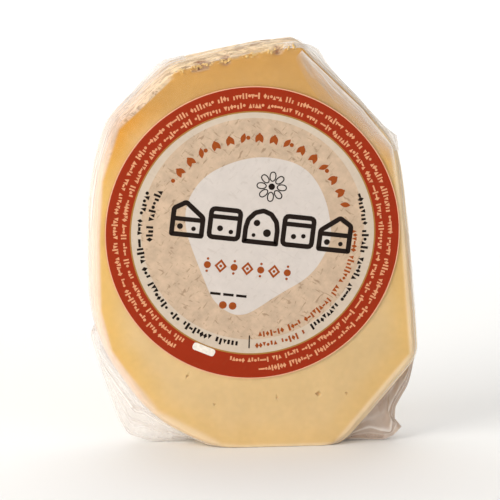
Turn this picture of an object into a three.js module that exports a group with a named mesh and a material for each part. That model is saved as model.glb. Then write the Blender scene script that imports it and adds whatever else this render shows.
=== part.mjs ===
// A slice of provolone standing on its rim, sealed in a clear vacuum bag,
// with a round paper label on the front cut face.
// Units are millimetres. +Z is up and the labelled face looks along -Y.
// Outlines are [x, z] points in the plane of the slice: x is measured from
// the label's centre line and z from the surface that the slice stands on.

import * as THREE from "three";

// Slice
const SLICE_THICKNESS = 20;
const OUTLINE_SAMPLES = 200;
const FACE_CENTRE = [1, 62];

// Corners of the front cut face, anticlockwise from the upper right:
// x, z and the length of side that the rounding takes.
const FACE_CORNERS = [
  [14.4, 124.0, 2],
  [-7.5, 119.9, 9],
  [-23.6, 116.2, 3],
  [-41.2, 99.7, 4],
  [-46.4, 83.5, 8],
  [-47.4, 65.0, 9],
  [-47.1, 43.5, 6],
  [-43.8, 30.8, 6],
  [-30.2, 11.0, 8],
  [-10, 0, 8],
  [25.4, 0, 6],
  [49.4, 28.2, 3],
  [46.5, 64.8, 16],
  [43.0, 93.3, 4],
  [33.5, 104.8, 8],
  [17.0, 120.6, 2],
];

// Rim: how far it swells beyond the cut faces at mid-depth.
const RIM_SWELL = 2.3;
const RIM_SWELL_LEFT = 0.5;
const RIM_SWELL_DIAGONAL = 0.7;
const RIM_DRAWN_IN = 0.9;
const RIM_FULLNESS = 2.5;
const EDGE_SETBACK = 0.25;

// Rind relief: fibrous wrinkles that run round the rim.
const WRINKLE_HEIGHT = 0.26;
const WRINKLE_PITCH = 5.2;
const FIBRE_HEIGHT = 0.16;
const FIBRE_PITCH = 3.4;

// Crumbled upper front edge: small random steps and three deeper nicks,
// each given by its x, half width and depth.
const CRUMBLE_HEIGHT = 0.35;
const CRUMBLE_DEPTH = 3;
const CRUMBLE_SEED = 11;
const EDGE_NICKS = [
  [-15.4, 2.2, 0.9],
  [-8.1, 0.9, 1.2],
  [7.5, 1.2, 1.0],
];

// Film: a thin sheet at mid-depth that stands out as flaps at four corners.
const FILM_THICKNESS = 1;
const FILM_ROOT_THICKNESS = 2.2;
const FILM_SEAM = 0.15;
const FILM_CLEARANCE = 0.4;
const FILM_WAVE = 0.9;
const FILM_WAVE_LENGTH = 13;

// Free edge of each flap, anticlockwise, between the two ends on the rim.
const FLAP_EDGES = {
  upperRight: [
    [45.2, 90.4], [44.6, 93.6], [42.9, 97.0], [38.4, 101.5],
    [32.4, 107.2], [26.1, 114.0], [20.1, 121.3], [18.5, 123.5], [9.2, 125.0],
  ],
  upperLeft: [
    [-22.0, 119.4], [-27.6, 118.0], [-30.6, 115.2], [-33.9, 110.8],
    [-38.4, 105.4], [-42.6, 100.2],
  ],
  lowerLeft: [
    [-46.8, 30.0], [-45.1, 23.0], [-42.9, 15.9], [-40.8, 8.8], [-38.0, 3.5],
    [-34.6, 1.7], [-28.2, 0.8], [-24.7, 0.9], [-21.3, 1.8], [-17.4, 0.8],
  ],
  lowerRight: [
    [28.4, 0.6], [37.8, 0.6], [41.0, 1.0], [43.6, 2.9], [46.1, 5.6],
    [43.7, 9.3], [45.0, 13.8], [47.2, 18.1], [50.2, 24.2], [51.2, 28.6],
  ],
};

// Label
const LABEL_RADIUS = 45;
const LABEL_CENTRE = [0, 66.8];
const LABEL_THICKNESS = 0.4;
const LABEL_GAP = 0.3;
const LABEL_SEGMENTS = 128;

const HALF_DEPTH = SLICE_THICKNESS / 2;

function smoothStep(low, high, value) {
  return THREE.MathUtils.smoothstep(value, low, high);
}

function wave(cycles, phase = 0) {
  return Math.sin(2 * Math.PI * cycles + phase);
}

// Small generator with a fixed seed, so that every build is the same.
function seededRandom(seed) {
  let state = seed;
  return () => {
    state = (state * 16807) % 2147483647;
    return state / 2147483647;
  };
}

// Closed path round the corners, with each corner rounded by a short curve.
function roundedPath(corners) {
  const path = new THREE.Path();
  corners.forEach(([x, z, rounding], index) => {
    const corner = new THREE.Vector2(x, z);
    const before = new THREE.Vector2(...corners.at(index - 1));
    const after = new THREE.Vector2(...corners[(index + 1) % corners.length]);
    const start = before.sub(corner).setLength(rounding).add(corner);
    const end = after.sub(corner).setLength(rounding).add(corner);
    if (index === 0) {
      path.moveTo(start.x, start.y);
    } else {
      path.lineTo(start.x, start.y);
    }
    path.quadraticCurveTo(x, z, end.x, end.y);
  });
  path.closePath();
  return path;
}

// Evenly spaced samples of the face outline, each with its outward normal.
function sampleOutline() {
  const points = roundedPath(FACE_CORNERS).getSpacedPoints(OUTLINE_SAMPLES);
  points.pop();
  return points.map((point, index) => {
    const previous = points.at(index - 1);
    const next = points[(index + 1) % points.length];
    const along = next.clone().sub(previous).normalize();
    const normal = new THREE.Vector2(along.y, -along.x);
    return { point, normal, turn: index / points.length };
  });
}

// Swell of the rim at one sample and depth, from 0 at the cut faces. The
// upper right corner is drawn in.
function rimSwell({ point, normal }, depth) {
  const left = -RIM_SWELL_LEFT * normal.x;
  const diagonal = -RIM_SWELL_DIAGONAL * normal.x * normal.y;
  const drawnIn = -RIM_DRAWN_IN * smoothStep(0, 14, point.x) * smoothStep(80, 100, point.y);
  const fullness = 1 - Math.abs(depth / HALF_DEPTH) ** RIM_FULLNESS;
  return (RIM_SWELL + left + diagonal + drawnIn) * fullness - EDGE_SETBACK;
}

// Wrinkles fade out towards both cut faces.
function rindRelief(turn, depth) {
  const drift = wave(6 * turn) + 0.6 * wave(17 * turn, 1.3);
  const wrinkle = WRINKLE_HEIGHT * wave(depth / WRINKLE_PITCH, 1.5 * drift);
  const fibre = FIBRE_HEIGHT * wave(depth / FIBRE_PITCH, 2 * wave(11 * turn));
  const fade = 1 - smoothStep(0.7, 0.98, Math.abs(depth) / HALF_DEPTH);
  return (wrinkle + fibre) * fade;
}

// Crumbs and nicks of the upper edge, fading out behind the front face.
function edgeCrumble({ point, normal }, crumb, depth) {
  const behindFace = depth + HALF_DEPTH;
  const fade = 1 - smoothStep(0, CRUMBLE_DEPTH, behindFace);
  const onTop = smoothStep(0.85, 0.95, normal.y);
  const nicks = EDGE_NICKS.reduce((sum, [x, halfWidth, nickDepth]) => {
    const distance = (point.x - x) / halfWidth;
    return sum + nickDepth * Math.exp(-distance * distance);
  }, 0);
  return onTop * fade * (CRUMBLE_HEIGHT * (crumb - 0.5) - nicks);
}

// One ring round the rim at the given depth.
function rimRing(outline, crumbs, depth) {
  return outline.map((sample, index) => {
    const offset = rimSwell(sample, depth)
      + rindRelief(sample.turn, depth)
      + edgeCrumble(sample, crumbs[index], depth);
    const moved = sample.normal.clone().multiplyScalar(offset).add(sample.point);
    return new THREE.Vector3(moved.x, depth, Math.max(moved.y, 0));
  });
}

function nearestSample(ring, [x, z]) {
  const distances = ring.map((vertex) => Math.hypot(vertex.x - x, vertex.z - z));
  return distances.indexOf(Math.min(...distances));
}

// Free edge of the film round the whole rim, as one point for each sample:
// a narrow seam, and the flap edges where the film stands out.
function filmEdge(outline, ring) {
  const edge = ring.map((vertex, index) => {
    const { normal } = outline[index];
    const x = vertex.x + FILM_SEAM * normal.x;
    const z = Math.max(vertex.z + FILM_SEAM * normal.y, 0);
    return new THREE.Vector3(x, 0, z);
  });
  Object.values(FLAP_EDGES).forEach((corners) => {
    const flap = new THREE.Path(corners.map(([x, z]) => new THREE.Vector2(x, z)));
    const first = nearestSample(ring, corners[0]);
    const last = nearestSample(ring, corners.at(-1));
    const count = (last - first + ring.length) % ring.length;
    for (let step = 0; step <= count; step += 1) {
      const tip = flap.getPointAt(step / count);
      const z = Math.max(tip.y, FILM_CLEARANCE);
      const bend = FILM_WAVE * wave((step / count) * (flap.getLength() / FILM_WAVE_LENGTH));
      const vertex = edge[(first + step) % ring.length];
      vertex.set(tip.x, bend, z);
    }
  });
  return edge;
}

// Ring part of the way from the rim to the film's free edge.
function filmRing(ring, edge, fraction, side) {
  const half = side * THREE.MathUtils.lerp(FILM_ROOT_THICKNESS, FILM_THICKNESS, fraction) / 2;
  return ring.map((vertex, index) => {
    const tip = edge[index];
    const point = vertex.clone().lerp(tip, fraction);
    point.y = half + tip.y * fraction;
    return point;
  });
}

function pushTriangle(positions, ...corners) {
  corners.forEach((corner) => positions.push(corner.x, corner.y, corner.z));
}

// Closed solid from rings that run from the front cut face to the back one.
function loftRings(rings) {
  const positions = [];
  const count = rings[0].length;
  for (let level = 0; level < rings.length - 1; level += 1) {
    const front = rings[level];
    const back = rings[level + 1];
    for (let index = 0; index < count; index += 1) {
      const next = (index + 1) % count;
      pushTriangle(positions, front[index], back[index], front[next]);
      pushTriangle(positions, front[next], back[index], back[next]);
    }
  }
  const [centreX, centreZ] = FACE_CENTRE;
  const frontCentre = new THREE.Vector3(centreX, rings[0][0].y, centreZ);
  const backCentre = new THREE.Vector3(centreX, rings.at(-1)[0].y, centreZ);
  for (let index = 0; index < count; index += 1) {
    const next = (index + 1) % count;
    pushTriangle(positions, frontCentre, rings[0][index], rings[0][next]);
    pushTriangle(positions, backCentre, rings.at(-1)[next], rings.at(-1)[index]);
  }
  const geometry = new THREE.BufferGeometry();
  geometry.setAttribute("position", new THREE.Float32BufferAttribute(positions, 3));
  geometry.computeVertexNormals();
  return geometry;
}

// Cheese and film as one closed solid.
function makeSealedSlice() {
  const outline = sampleOutline();
  const random = seededRandom(CRUMBLE_SEED);
  const crumbs = outline.map(() => random());
  const rootDepth = FILM_ROOT_THICKNESS / 2;
  const frontDepths = [1, 0.96, 0.86, 0.7, 0.52, 0.32].map((part) => -part * HALF_DEPTH);
  const backDepths = frontDepths.map((depth) => -depth).reverse();
  const ringAt = (depth) => rimRing(outline, crumbs, depth);
  const rimMiddle = ringAt(0);
  const edge = filmEdge(outline, rimMiddle);
  const rings = [
    ...frontDepths.map(ringAt),
    filmRing(rimMiddle, edge, 0, -1),
    filmRing(rimMiddle, edge, 0.5, -1),
    filmRing(rimMiddle, edge, 1, -1),
    filmRing(rimMiddle, edge, 1, 1),
    filmRing(rimMiddle, edge, 0.5, 1),
    filmRing(rimMiddle, edge, 0, 1),
    ...backDepths.map(ringAt),
  ];
  const material = new THREE.MeshStandardMaterial({
    color: 0xddb678,
    roughness: 0.3,
    metalness: 0,
  });
  const mesh = new THREE.Mesh(loftRings(rings), material);
  mesh.name = "sealed_slice";
  return mesh;
}

// Paper disc on the front of the film.
function makeLabel() {
  const geometry = new THREE.CylinderGeometry(
    LABEL_RADIUS,
    LABEL_RADIUS,
    LABEL_THICKNESS,
    LABEL_SEGMENTS,
  );
  const material = new THREE.MeshStandardMaterial({
    color: 0xa1361c,
    roughness: 0.6,
    metalness: 0,
  });
  const mesh = new THREE.Mesh(geometry, material);
  const [x, z] = LABEL_CENTRE;
  mesh.position.set(x, -HALF_DEPTH - LABEL_GAP - LABEL_THICKNESS / 2, z);
  mesh.name = "label";
  return mesh;
}

// Puts the origin at the bottom centre of the whole pack's bounding box.
function standOnOrigin(group) {
  const box = new THREE.Box3().setFromObject(group, true);
  const centre = box.getCenter(new THREE.Vector3());
  group.position.set(-centre.x, -centre.y, -box.min.z);
  group.updateMatrixWorld(true);
}

const cheesePack = new THREE.Group();
cheesePack.add(makeSealedSlice(), makeLabel());
standOnOrigin(cheesePack);

export default cheesePack;
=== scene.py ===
"""Slice of provolone on its rim, in a clear vacuum bag with a round paper label."""

import math
import random

import bmesh
import bpy
from bpy.props import FloatProperty, FloatVectorProperty, IntProperty, PointerProperty
from mathutils import Matrix, Vector, noise


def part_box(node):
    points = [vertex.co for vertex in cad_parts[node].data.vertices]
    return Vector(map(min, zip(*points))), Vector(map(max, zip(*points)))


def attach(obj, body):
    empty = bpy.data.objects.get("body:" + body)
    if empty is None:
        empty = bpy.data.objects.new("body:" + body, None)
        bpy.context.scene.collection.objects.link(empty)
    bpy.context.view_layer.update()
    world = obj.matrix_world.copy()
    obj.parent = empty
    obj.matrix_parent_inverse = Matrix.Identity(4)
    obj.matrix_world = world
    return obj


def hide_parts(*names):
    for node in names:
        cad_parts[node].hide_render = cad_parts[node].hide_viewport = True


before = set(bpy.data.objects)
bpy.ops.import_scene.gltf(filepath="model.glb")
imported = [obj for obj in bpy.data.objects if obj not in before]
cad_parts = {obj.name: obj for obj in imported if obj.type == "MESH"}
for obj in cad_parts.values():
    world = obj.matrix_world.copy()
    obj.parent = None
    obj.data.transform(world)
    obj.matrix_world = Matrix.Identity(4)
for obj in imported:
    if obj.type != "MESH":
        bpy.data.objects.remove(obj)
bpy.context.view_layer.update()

bl_info = {
    "name": "Provolone Slice",
    "version": (1, 0, 0),
    "blender": (4, 5, 0),
    "location": "View3D > Sidebar > Provolone",
    "description": "Builds a vacuum-packed provolone slice with a paper label",
    "category": "Add Mesh",
}

MM = 0.001

SLICE_LOW, SLICE_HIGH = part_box("sealed_slice")
LABEL_LOW, LABEL_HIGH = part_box("label")
LABEL_CENTRE = (LABEL_LOW + LABEL_HIGH) / 2
MIDDLE_Y = (SLICE_LOW.y + SLICE_HIGH.y) / 2
HALF_DEPTH = (SLICE_HIGH.y - SLICE_LOW.y) / 2

# Corners of the front cut face, anticlockwise from the upper right, in
# millimetres: x from the label's centre line, z from the floor, and the
# length of side that each rounding takes.
FACE_CORNERS = (
    (14.4, 124.0, 2),
    (-7.5, 119.9, 9),
    (-23.6, 116.2, 3),
    (-41.2, 99.7, 4),
    (-46.4, 83.5, 8),
    (-47.4, 65.0, 9),
    (-47.1, 43.5, 6),
    (-43.8, 30.8, 6),
    (-30.2, 11.0, 8),
    (-10, 0, 8),
    (25.4, 0, 6),
    (49.4, 28.2, 3),
    (46.5, 64.8, 16),
    (43.0, 93.3, 4),
    (33.5, 104.8, 8),
    (17.0, 120.6, 2),
)

# Nicks of the upper front edge in millimetres: x, half width and depth.
EDGE_NICKS = (
    (-15.4, 2.2, 0.9),
    (-8.1, 0.9, 1.2),
    (7.5, 1.2, 1.0),
)

# Eyes of the cut face in millimetres: x, z and radius.
FACE_EYES = (
    (20.2, 16.5, 0.75),
    (-20.0, 23.0, 0.35),
    (7.4, 15.5, 0.3),
    (29.0, 16.5, 0.35),
    (-11.8, 14.0, 0.3),
)

# Film flaps, anticlockwise and in millimetres: the root at the rim, the main fold and
# the free edge, point for point. Depths are shares of the way from a ply's own cut face
# to mid-depth, folds is how deep the folds are, and lean is how far the free edge comes
# forward. The haze is the film's opacity, and ridges are the places where a fold crosses
# to the free edge.
FLAPS = {
    "upper_right": {
        "root": ((42.9, 91.6), (40.3, 96.6), (36.8, 100.9), (33.2, 105.0), (28.9, 109.2),
                 (24.7, 113.2), (20.5, 117.2), (17.1, 120.5), (15.2, 122.8), (9.0, 122.0)),
        "fold": ((44.2, 91.4), (42.6, 96.4), (38.2, 101.2), (34.0, 105.6), (30.0, 109.9),
                 (25.8, 113.9), (21.7, 117.9), (18.6, 121.6), (16.3, 123.4), (9.2, 123.2)),
        "edge": ((44.7, 91.0), (43.9, 96.2), (39.6, 99.3), (35.4, 104.1), (31.4, 108.7),
                 (27.1, 113.0), (22.9, 117.8), (19.9, 122.6), (17.0, 124.3), (9.4, 124.9)),
        "depths": (0.04, 0.5, 1.0), "folds": 0.2, "lean": 9.8, "haze": 0.16, "ridges": (1, 7),
    },
    "upper_left": {
        "root": ((-19.5, 119.0), (-23.8, 118.0), (-27.0, 114.8), (-31.0, 111.2),
                 (-35.5, 107.0), (-41.0, 101.6)),
        "fold": ((-19.7, 120.0), (-24.5, 118.8), (-28.3, 116.0), (-32.2, 112.0),
                 (-36.7, 107.0), (-41.8, 101.4)),
        "edge": ((-20.0, 120.3), (-25.9, 119.0), (-29.3, 117.0), (-33.0, 112.5),
                 (-38.0, 106.4), (-42.6, 100.6)),
        "depths": (0.7, 0.85, 1.0), "folds": 0.3, "lean": 0, "haze": 0.12, "ridges": (1,),
    },
    "lower_left": {
        "root": ((-47.3, 37.3), (-46.2, 31.4), (-44.0, 27.9), (-41.3, 24.2), (-38.4, 20.3),
                 (-35.6, 16.8), (-33.0, 13.8), (-30.4, 11.6), (-27.2, 9.8), (-23.8, 7.8),
                 (-15.5, 2.8)),
        "fold": ((-48.6, 35.2), (-47.2, 29.1), (-45.4, 25.0), (-42.4, 20.5), (-39.3, 16.0),
                 (-36.6, 12.1), (-35.4, 10.8), (-33.3, 10.6), (-28.6, 7.4), (-24.4, 5.2),
                 (-17.2, 1.6)),
        "edge": ((-48.9, 34.0), (-47.7, 29.6), (-46.2, 24.5), (-44.4, 19.1), (-42.3, 12.8),
                 (-40.2, 7.2), (-37.8, 2.8), (-30.2, 0.4), (-27.4, 0.3), (-24.6, 0.6),
                 (-18.6, 0.8)),
        "depths": (0.42, 0.75, 1.0), "folds": 0.45, "lean": 0, "haze": 0.16,
        "ridges": (5, 7, 9),
    },
    # The lower right flap's high haze goes with the taupe shade tint: painted shade.
    "lower_right": {
        "root": ((27.6, 0.9), (31.0, 4.6), (34.0, 8.2), (36.6, 11.4), (39.0, 14.3),
                 (41.0, 16.8), (43.0, 19.3), (45.0, 21.8), (47.0, 24.3), (48.9, 26.8),
                 (50.3, 29.6)),
        "fold": ((28.4, 0.9), (32.4, 3.0), (37.0, 4.6), (40.6, 3.4), (43.6, 2.6), (43.8, 6.2),
                 (42.6, 9.4), (43.8, 12.0), (45.6, 15.6), (48.2, 19.8), (50.6, 27.4)),
        "edge": ((27.4, 0.4), (31.4, 0.7), (36.8, 0.4), (41.6, 0.3), (44.5, 1.4), (47.0, 4.2),
                 (44.9, 6.8), (45.0, 10.6), (46.8, 13.7), (49.3, 18.3), (51.0, 27.0)),
        "depths": (0.6, 0.75, 1.0), "folds": 0.45, "lean": 4.5, "haze": 0.42,
        "ridges": (3, 5, 6),
    },
}

# Middle of the face's outline in millimetres: x and z.
FACE_MIDDLE = (1, 62)

# Depths of the cheese's and the film's cut faces. The film's front carries the label.
CHEESE_FRONT = SLICE_LOW.y
CHEESE_BACK = SLICE_HIGH.y - 0.3 * MM
FILM_FRONT = LABEL_HIGH.y + 0.02 * MM
FILM_BACK = SLICE_HIGH.y - 0.02 * MM

# Rim: how square its swell is across the depth.
RIM_FULLNESS = 5

# Mesh: cuts through the rim's depth, widths of the rings by the edge in
# millimetres, and scales of the rings further in.
RIM_CUTS = 17
EDGE_RINGS = (0.7, 1.2)
INNER_RINGS = (0.93, 0.9, 0.85, 0.7, 0.4)

# Flaps: half width of the painted highlight along a fold, in rows of facets.
FOLD_HIGHLIGHT = 0.14

# Label: the paper's front, the inks' thickness, the paper's pale cut edge with its painted
# highlight, the fine line and the pale band inside the border, how far the speckled field
# stands above the label's centre, and the tilt of the print.
PAPER_THICKNESS = 0.2 * MM
PAPER_FRONT = LABEL_HIGH.y - PAPER_THICKNESS
INK_THICKNESS = 0.02 * MM
CUT_EDGE_AND_HIGHLIGHT = 0.3 * MM
LINE_WIDTH = 0.45 * MM
BAND_WIDTH = 3.0 * MM
FIELD_RISE = 1.3 * MM
PRINT_TILT = math.radians(7)


def srgb(code, alpha=1.0):
    """Linear colour of an sRGB hex value."""
    channels = [int(code[start:start + 2], 16) / 255 for start in (1, 3, 5)]
    linear = [
        channel / 12.92 if channel <= 0.04045 else ((channel + 0.055) / 1.055) ** 2.4
        for channel in channels
    ]
    return (*linear, alpha)


def colour_property(name, description, code):
    return FloatVectorProperty(
        name=name, description=description, subtype="COLOR", size=4,
        min=0.0, max=1.0, default=srgb(code),
    )


def length_property(name, description, millimetres):
    return FloatProperty(
        name=name, description=description, unit="LENGTH", default=millimetres * MM,
    )


class SliceSettings(bpy.types.PropertyGroup):
    """Sizes and colours of the cheese."""

    swell: length_property("Rim swell", "How far the rim swells beyond the cut faces", 2.3)
    edge_rounding: length_property("Edge rounding", "Rounding of the cut faces' edges", 0.5)
    outline_step: length_property("Outline step", "Length of a mesh edge along the rim", 3.0)
    drawn_in: length_property("Drawn in", "How far the upper right rim is drawn in", 0.9)
    wrinkle: length_property("Wrinkle depth", "Depth of the rind's wrinkles", 0.9)
    paste: colour_property("Paste", "Colour of the cut cheese", "#DFBE87")
    paste_low: colour_property("Low band", "Colour of the drier band lower down", "#E6BA68")
    paste_high: colour_property("High band", "Colour of the drier band higher up", "#DF9512")
    # The top paste colour is painted shade: the face is painted darker and deeper towards the top.
    painted_top_shade: colour_property("Top paste", "Colour of the oldest paste, at the top", "#CB9A52")
    rind_light: colour_property("Light rind", "Colour of the raised rind", "#F0D4AA")
    # The pale rind colour is a painted highlight on the left side of the rim.
    rind_painted_highlight: colour_property("Pale rind", "Colour of the rind at the left", "#EBCFB6")
    rind_dark: colour_property("Dark rind", "Colour of the rind's furrows", "#7A5333")
    floor_gap: length_property("Floor gap", "Height of the cheese over the film's foot", 0.12)
    crumbs: IntProperty(name="Crumbs", description="Number of crumbs on the edge", default=95)
    crumb: colour_property("Crumbs", "Colour of the crumbs on the upper edge", "#E6BF78")


class FilmSettings(bpy.types.PropertyGroup):
    """Sizes and colours of the vacuum film."""

    thickness: length_property("Film thickness", "Thickness of one ply", 0.09)
    clearance: length_property("Clearance", "Distance from the rind to the film", 0.2)
    tint: colour_property("Tint", "Colour of the folded film", "#F7F0EA")
    # The shade tint is painted shade: the film at the lower right is tinted taupe as if in shadow.
    painted_shade_tint: colour_property("Shade", "Colour of the film folded double", "#CFB39C")


class LabelSettings(bpy.types.PropertyGroup):
    """Sizes and colours of the paper label."""

    ring_width: length_property("Ring width", "Width of the coloured border", 7.2)
    ring: colour_property("Ring", "Colour of the border", "#9B2D0F")
    gold: colour_property("Gold", "Colour of the fine line inside the border", "#A5793C")
    band: colour_property("Band", "Colour of the pale band", "#CFBEAB")
    kraft: colour_property("Kraft", "Colour of the speckled field", "#CAB096")
    centre: colour_property("Centre", "Colour of the pale patch", "#D4CAC2")
    dark_ink: colour_property("Dark ink", "Colour of the dark print", "#201611")
    rust_ink: colour_property("Rust ink", "Colour of the rust print", "#9C4A1C")
    peach_ink: colour_property("Peach ink", "Colour of the fine print on the border", "#DE9E74")


class StageSettings(bpy.types.PropertyGroup):
    """Camera and lights."""

    azimuth: FloatProperty(
        name="Azimuth", description="Camera's angle round the slice",
        subtype="ANGLE", default=math.radians(-6),
    )
    elevation: FloatProperty(
        name="Elevation", description="Camera's angle above the horizon",
        subtype="ANGLE", default=math.radians(10),
    )
    distance: FloatProperty(
        name="Distance", description="Camera's distance", unit="LENGTH", default=0.9,
    )
    lens: FloatProperty(name="Lens", description="Focal length in mm", default=213.3)
    floor: colour_property("Floor", "Colour of the floor", "#F4F3F1")


def set_inputs(tree, node, inputs):
    """Sets a node's inputs to values or links."""
    for name, value in inputs.items():
        if isinstance(value, bpy.types.NodeSocket):
            tree.links.new(value, node.inputs[name])
        else:
            node.inputs[name].default_value = value


def add_node(tree, kind, settings=None, inputs=None):
    """Adds a node with its settings, and its input values or links."""
    node = tree.nodes.new(kind)
    for name, value in (settings or {}).items():
        setattr(node, name, value)
    set_inputs(tree, node, inputs or {})
    return node


def new_material(name):
    """Empty node material with its tree and shader."""
    material = bpy.data.materials.new(name)
    material.use_nodes = True
    tree = material.node_tree
    tree.nodes.clear()
    shader = add_node(tree, "ShaderNodeBsdfPrincipled")
    add_node(tree, "ShaderNodeOutputMaterial", inputs={"Surface": shader.outputs["BSDF"]})
    return material, tree, shader


def object_place(tree):
    return add_node(tree, "ShaderNodeTexCoord").outputs["Object"]


def read_attribute(tree, name):
    return add_node(tree, "ShaderNodeAttribute", {"attribute_name": name}).outputs["Fac"]


def remap(tree, value, start, end, low=0.0, high=1.0, smooth=False):
    """Maps the range from start to end onto the range from low to high."""
    kind = "SMOOTHSTEP" if smooth else "LINEAR"
    return add_node(tree, "ShaderNodeMapRange", {"interpolation_type": kind}, {
        "Value": value, "From Min": start, "From Max": end, "To Min": low, "To Max": high,
    }).outputs["Result"]


def compute(tree, operation, *values, clamp=False):
    """Result of a sum, a product or the like."""
    settings = {"operation": operation, "use_clamp": clamp}
    return add_node(tree, "ShaderNodeMath", settings, dict(enumerate(values))).outputs[0]


def mix_colours(tree, share, first, second):
    return add_node(tree, "ShaderNodeMix", {"data_type": "RGBA"}, {
        0: share, 6: first, 7: second,
    }).outputs[2]


def shade_colour(tree, colour, value):
    """Colour made darker or lighter by a factor."""
    return add_node(tree, "ShaderNodeHueSaturation", inputs={
        "Color": colour, "Value": value,
    }).outputs["Color"]


def add_noise(tree, place, size, detail, roughness=0.5, distortion=0.0):
    """Noise with a grain in millimetres: one size, or one for each axis."""
    scale = 1.0
    if isinstance(size, tuple):
        place = add_node(tree, "ShaderNodeMapping", inputs={
            "Vector": place, "Scale": [1 / (part * MM) for part in size],
        }).outputs["Vector"]
    else:
        scale = 1 / (size * MM)
    return add_node(tree, "ShaderNodeTexNoise", inputs={
        "Vector": place, "Scale": scale, "Detail": detail, "Roughness": roughness,
        "Distortion": distortion,
    }).outputs["Fac"]


def add_bump(tree, height, strength, distance):
    return add_node(tree, "ShaderNodeBump", inputs={
        "Strength": strength, "Distance": distance, "Height": height,
    }).outputs["Normal"]


def deselect_all():
    bpy.ops.object.select_all(action="DESELECT")


def add_mesh(kind, **settings):
    """Adds a primitive mesh and returns its object."""
    deselect_all()
    getattr(bpy.ops.mesh, f"primitive_{kind}_add")(**settings)
    return bpy.context.object


def make_active(piece):
    deselect_all()
    piece.select_set(True)
    bpy.context.view_layer.objects.active = piece


def place_in_mesh(piece):
    """Moves the object's place into its mesh, so that it sits at the origin."""
    make_active(piece)
    bpy.ops.object.transform_apply(location=True, rotation=True, scale=True)


def name_piece(piece, name):
    piece.name = name
    piece.data.name = name


def shade_smooth(piece):
    for face in piece.data.polygons:
        face.use_smooth = True


def apply_modifier(piece, kind, **settings):
    """Adds a modifier with its settings and applies it."""
    make_active(piece)
    modifier = piece.modifiers.new(kind.title(), kind)
    for name, value in settings.items():
        setattr(modifier, name, value)
    bpy.ops.object.modifier_apply(modifier=modifier.name)


def join_pieces(pieces, name):
    """Joins objects into one piece."""
    deselect_all()
    for piece in pieces:
        piece.select_set(True)
    bpy.context.view_layer.objects.active = pieces[0]
    bpy.ops.object.join()
    name_piece(pieces[0], name)
    return pieces[0]


def select_elements(piece, kind, test):
    """Selects only the vertices, edges or faces in edit mode that pass a test."""
    bpy.ops.mesh.select_mode(type={"verts": "VERT", "edges": "EDGE", "faces": "FACE"}[kind])
    bpy.ops.mesh.select_all(action="DESELECT")
    mesh = bmesh.from_edit_mesh(piece.data)
    for element in getattr(mesh, kind):
        if test(element):
            element.select_set(True)
    bmesh.update_edit_mesh(piece.data)


def select_front(piece, front):
    """Selects the flat faces at a depth, in edit mode."""
    select_elements(
        piece, "faces",
        lambda face: all(abs(vertex.co.y - front) < 1e-6 for vertex in face.verts),
    )


def turn_outwards():
    """Turns every face outwards, in edit mode."""
    bpy.ops.mesh.select_all(action="SELECT")
    bpy.ops.mesh.normals_make_consistent(inside=False)


def set_weights(piece, name, weight_of):
    """Gives each vertex a weight in a new vertex group."""
    group = piece.vertex_groups.new(name=name)
    for vertex in piece.data.vertices:
        group.add([vertex.index], weight_of(vertex), "REPLACE")


def set_attribute(piece, name, value_of):
    """Stores a number on each vertex for the materials to read."""
    attribute = piece.data.attributes.new(name, "FLOAT", "POINT")
    attribute.data.foreach_set("value", [value_of(vertex) for vertex in piece.data.vertices])


def smooth_step(low, high, value):
    part = min(max((value - low) / (high - low), 0.0), 1.0)
    return part * part * (3 - 2 * part)


def point_along(points, fraction):
    """Point at a fraction of the length of a line through points."""
    lengths = [(b - a).length for a, b in zip(points, points[1:])]
    left = fraction * sum(lengths)
    for start, end, length in zip(points, points[1:], lengths):
        if left <= length:
            return start.lerp(end, left / length if length else 0.0)
        left -= length
    return points[-1].copy()


def in_frame(x, z, y=0.0):
    """Point of the slice's plane, from millimetres to the frame."""
    return Vector((LABEL_CENTRE.x + x * MM, y, z * MM))


# Slice


def move_vertex(piece, index, target):
    """Moves one vertex in edit mode to a place."""
    select_elements(piece, "verts", lambda vertex: vertex.index == index)
    mesh = bmesh.from_edit_mesh(piece.data)
    start = next(vertex.co.copy() for vertex in mesh.verts if vertex.select)
    bpy.ops.transform.translate(value=target - start)


def divide_long_edges(piece, step):
    """Divides each edge in edit mode that is longer than the step."""
    while True:
        mesh = bmesh.from_edit_mesh(piece.data)
        longest = max(mesh.edges, key=lambda edge: edge.calc_length())
        cuts = round(longest.calc_length() / step) - 1
        if cuts < 1:
            return
        middle = (longest.verts[0].co + longest.verts[1].co) / 2
        select_elements(
            piece, "edges",
            lambda edge: ((edge.verts[0].co + edge.verts[1].co) / 2 - middle).length < 1e-7,
        )
        bpy.ops.mesh.subdivide(number_cuts=cuts)


def raise_slab(name, front, back, step):
    """Rounded prism with the slice's outline between two depths."""
    slab = add_mesh(
        "circle", vertices=len(FACE_CORNERS), radius=50 * MM, fill_type="NGON",
        location=in_frame(*FACE_MIDDLE, front), rotation=(math.radians(90), 0, 0),
    )
    name_piece(slab, name)
    place_in_mesh(slab)
    bpy.ops.object.mode_set(mode="EDIT")
    for index, (x, z, rounding) in enumerate(FACE_CORNERS):
        move_vertex(slab, index, in_frame(x, z, front))
    for x, z, rounding in FACE_CORNERS:
        corner = in_frame(x, z, front)
        select_elements(slab, "verts", lambda vertex: (vertex.co - corner).length < 1e-5)
        bpy.ops.mesh.bevel(offset=rounding * MM, segments=5, affect="VERTICES")
    divide_long_edges(slab, step)
    bpy.ops.mesh.select_all(action="SELECT")
    bpy.ops.mesh.extrude_region_move(TRANSFORM_OT_translate={"value": (0, back - front, 0)})
    select_elements(
        slab, "edges",
        lambda edge: abs(edge.verts[0].co.y - edge.verts[1].co.y) > 0.5 * (back - front),
    )
    bpy.ops.mesh.subdivide(number_cuts=RIM_CUTS)
    for face_y in (front, back):
        ring_face(slab, face_y)
    turn_outwards()
    bpy.ops.object.mode_set(mode="OBJECT")
    return slab


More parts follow.
